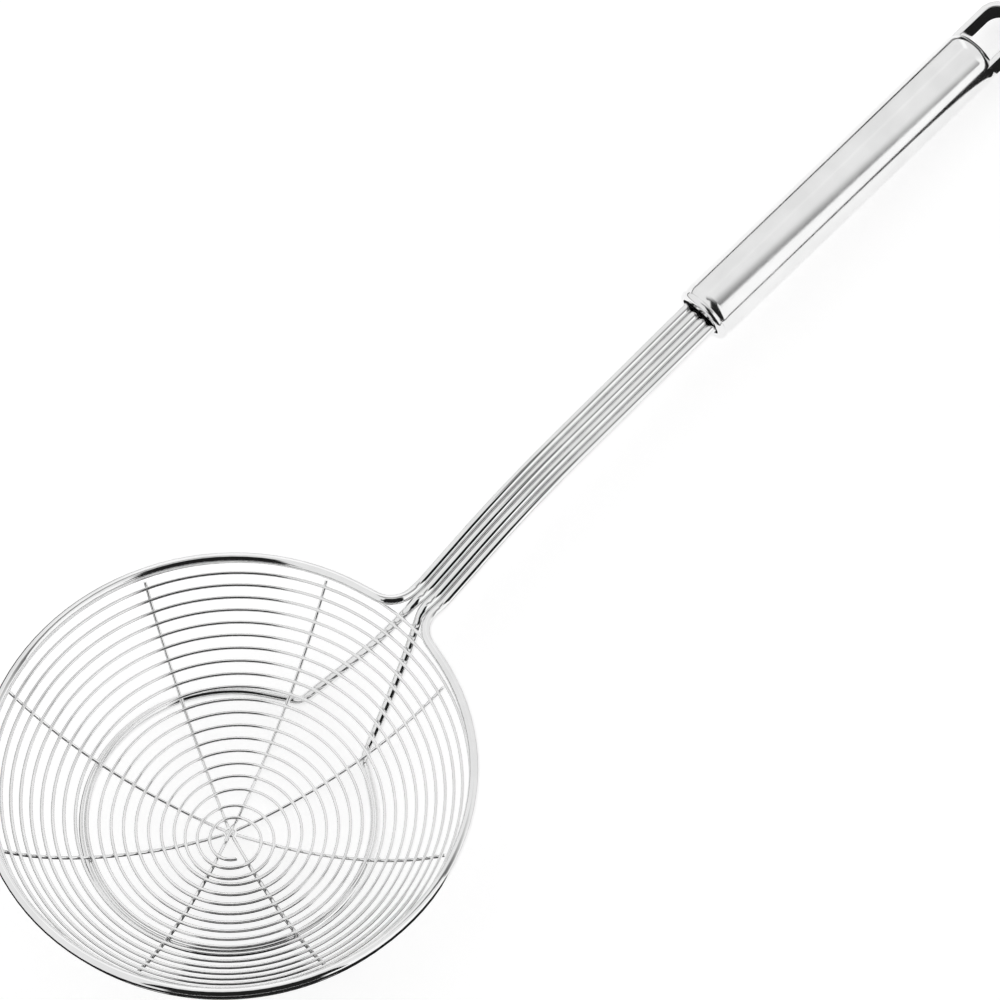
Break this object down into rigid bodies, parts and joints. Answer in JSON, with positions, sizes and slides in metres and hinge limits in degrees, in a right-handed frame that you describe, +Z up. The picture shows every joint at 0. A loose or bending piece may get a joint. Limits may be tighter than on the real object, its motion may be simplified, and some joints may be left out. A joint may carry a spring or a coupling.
{
  "type": "spider skimmer",
  "caption": "Wire spider skimmer: a shallow bowl wound from spiral wire on spokes and hoops, with a bent wire shaft and a hollow round grip with a hanging loop.",
  "frame": {"origin": "on the table under the middle of the tool as it lies, which is the middle of its box's bottom", "axes": "+X along the tool from the bowl to the hanging loop, +Z up from the table, +Y across the tool"},
  "size_m": [0.381, 0.14, 0.0573],
  "materials": {
    "frame_wire": "bright polished stainless wire",
    "bowl_wire": "bright drawn stainless wire",
    "grip_steel": "polished stainless sheet"
  },
  "bodies": {
    "root": {"rim_hoop": "frame_wire", "support_hoop": "frame_wire", "spiral_wire": "bowl_wire", "spoke_1": "bowl_wire", "spoke_2": "bowl_wire", "spoke_3": "bowl_wire", "spoke_4": "bowl_wire", "spoke_5": "bowl_wire", "spoke_6": "bowl_wire", "spoke_7": "bowl_wire", "spoke_8": "bowl_wire", "handle_tube": "grip_steel", "mouth_cap": "grip_steel", "end_cap": "grip_steel", "hanging_loop": "grip_steel"}
  },
  "joints": []
}
